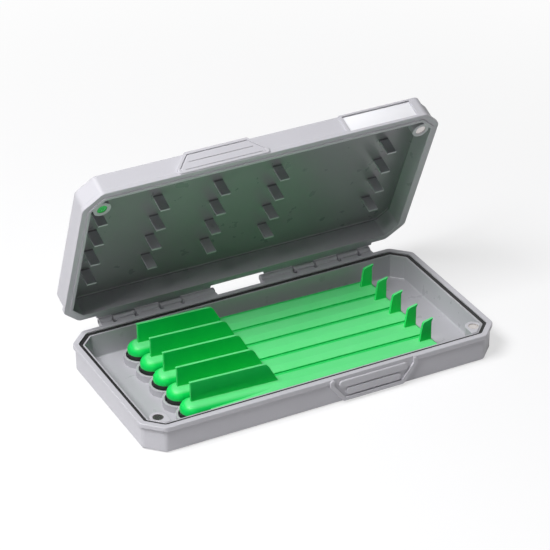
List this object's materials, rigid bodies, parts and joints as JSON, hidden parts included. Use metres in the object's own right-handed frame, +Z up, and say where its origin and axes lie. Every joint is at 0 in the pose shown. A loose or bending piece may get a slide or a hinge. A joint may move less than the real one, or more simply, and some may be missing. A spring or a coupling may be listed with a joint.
{
  "type": "fishing rig box",
  "caption": "Flat fishing rig box: a tray and a hinged, sealed, magnet-held lid, with lift-out sticks that each hold a ready-tied rig.",
  "frame": {"origin": "middle of the base's flat underside", "axes": "+X along the hinge, with the sticks' round noses at -X; +Y towards the hinge; +Z up"},
  "size_m": [0.22, 0.1281, 0.1296],
  "materials": {
    "shell_grey": "fine spark-eroded satin moulding",
    "stick_green": "bright green satin moulding",
    "seal_black": "matt",
    "pin_steel": "ground",
    "magnet_nickel": "nickel plate",
    "magnet_black": "sintered",
    "disc_steel": "zinc plate",
    "label_white": "satin, blank"
  },
  "bodies": {
    "base": {"base_shell": "shell_grey", "lid_seal": "seal_black", "hinge_pin_left": "pin_steel", "hinge_pin_right": "pin_steel", "base_magnet_left": "magnet_nickel", "base_magnet_right": "magnet_nickel", "keeper_discs": "disc_steel"},
    "lid": {"lid_shell": "shell_grey", "lid_magnet_left": "magnet_nickel", "lid_magnet_right": "magnet_nickel", "label_plate": "label_white"},
    "stick_1": {"rig_stick_1": "stick_green", "nose_magnet_1": "magnet_black"},
    "stick_2": {"rig_stick_2": "stick_green", "nose_magnet_2": "magnet_black"},
    "stick_3": {"rig_stick_3": "stick_green", "nose_magnet_3": "magnet_black"},
    "stick_4": {"rig_stick_4": "stick_green", "nose_magnet_4": "magnet_black"},
    "stick_5": {"rig_stick_5": "stick_green", "nose_magnet_5": "magnet_black"}
  },
  "joints": [
    {"name": "lid_hinge", "type": "hinge", "parent": "base", "child": "lid", "pos_m": [0, 0.0605, 0.0165], "axis": [-1, 0, 0], "range_deg": [-67, 113]},
    {"name": "stick_1_lift", "type": "slide", "parent": "base", "child": "stick_1", "axis": [0, 0, 1], "range_m": [0, 0.025]},
    {"name": "stick_2_lift", "type": "slide", "parent": "base", "child": "stick_2", "axis": [0, 0, 1], "range_m": [0, 0.025]},
    {"name": "stick_3_lift", "type": "slide", "parent": "base", "child": "stick_3", "axis": [0, 0, 1], "range_m": [0, 0.025]},
    {"name": "stick_4_lift", "type": "slide", "parent": "base", "child": "stick_4", "axis": [0, 0, 1], "range_m": [0, 0.025]},
    {"name": "stick_5_lift", "type": "slide", "parent": "base", "child": "stick_5", "axis": [0, 0, 1], "range_m": [0, 0.025]}
  ]
}
